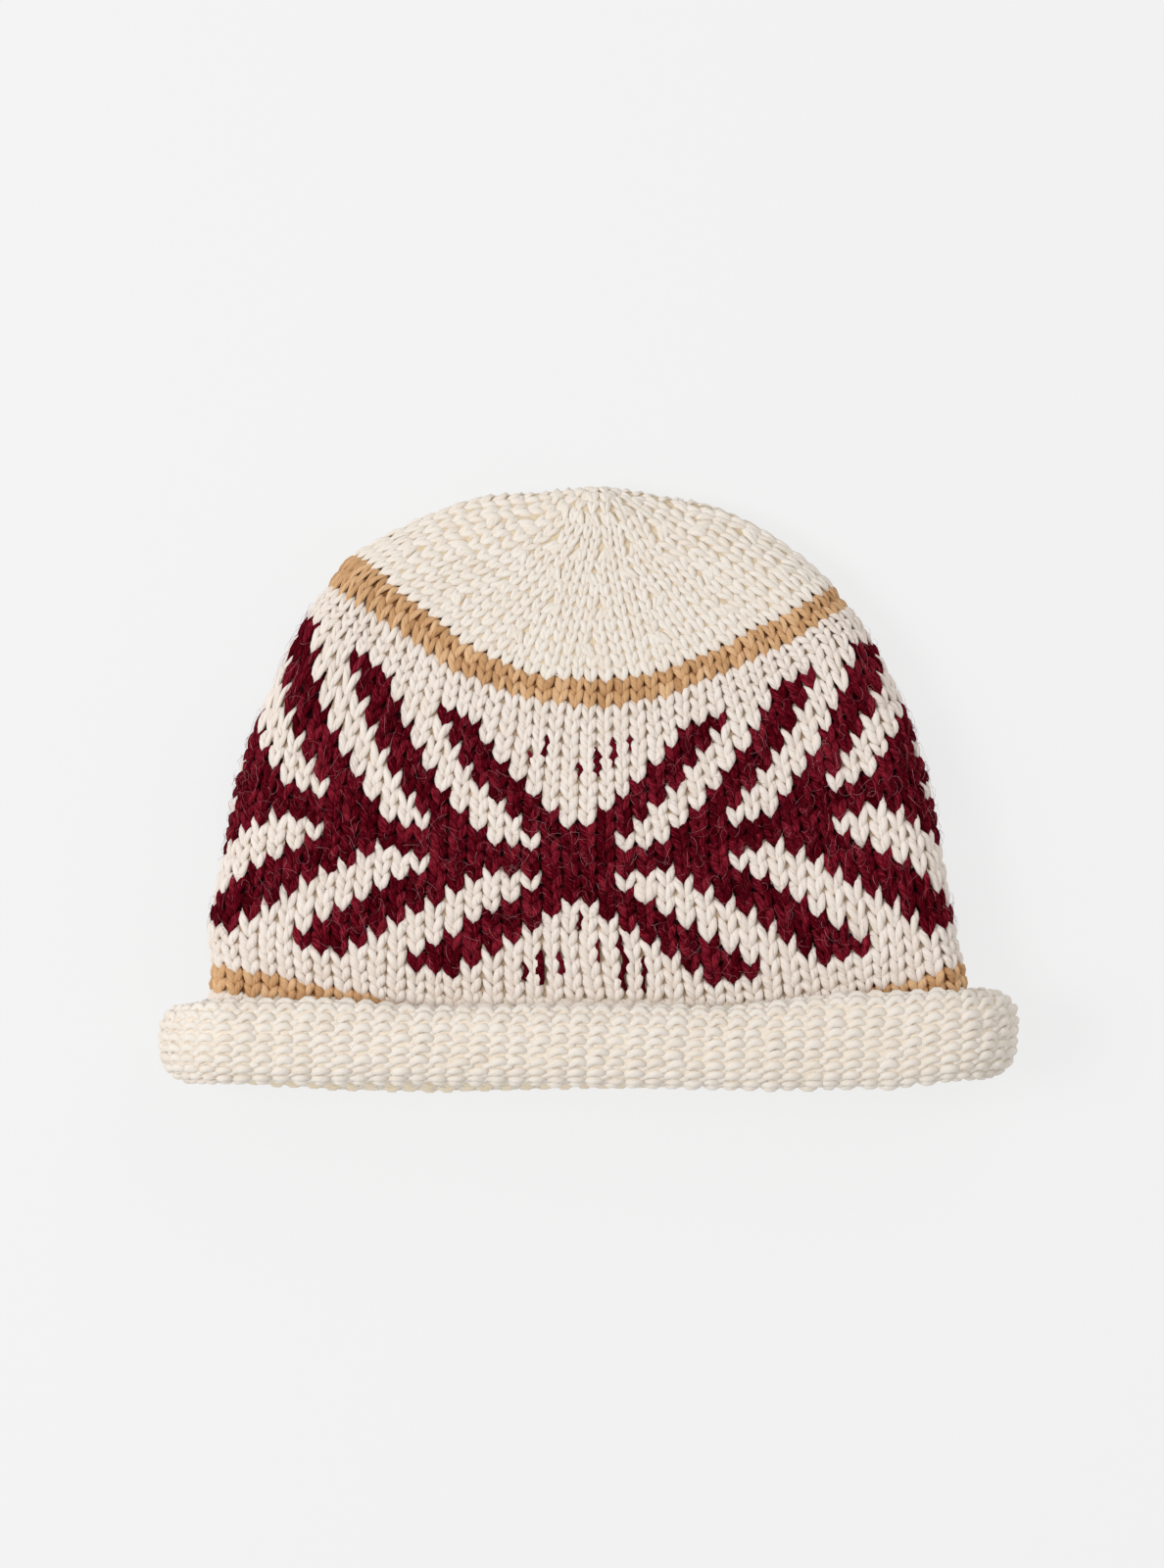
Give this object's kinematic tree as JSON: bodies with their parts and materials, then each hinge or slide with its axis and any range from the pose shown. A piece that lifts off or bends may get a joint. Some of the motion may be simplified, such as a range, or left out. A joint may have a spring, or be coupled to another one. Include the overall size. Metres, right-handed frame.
{
  "type": "watch cap",
  "caption": "knitted watch cap lying flat on its back, with a self-rolled brim, contrast stripes, a banded colourwork pattern and a crown drawn together at the tip",
  "frame": {"origin": "on the surface the cap lies on, below the middle of its outline", "axes": "+X across the cap to its right as it is seen from the front, +Y from the mouth to the tip, +Z out of the front of the cap"},
  "size_m": [0.2546, 0.18, 0.0453],
  "materials": {
    "cream_yarn": "matt twisted wool yarn, plain knitting; its purl side shows on the roll",
    "tan_yarn": "matt twisted wool yarn, plain knitting",
    "colourwork_yarn": "cream wool ground with fuzzy dark red wool bars, the colours carried behind"
  },
  "bodies": {
    "root": {"rolled_brim": "cream_yarn", "lower_stripe": "tan_yarn", "pattern_band": "colourwork_yarn", "upper_stripe": "tan_yarn", "crown": "cream_yarn"}
  },
  "joints": []
}
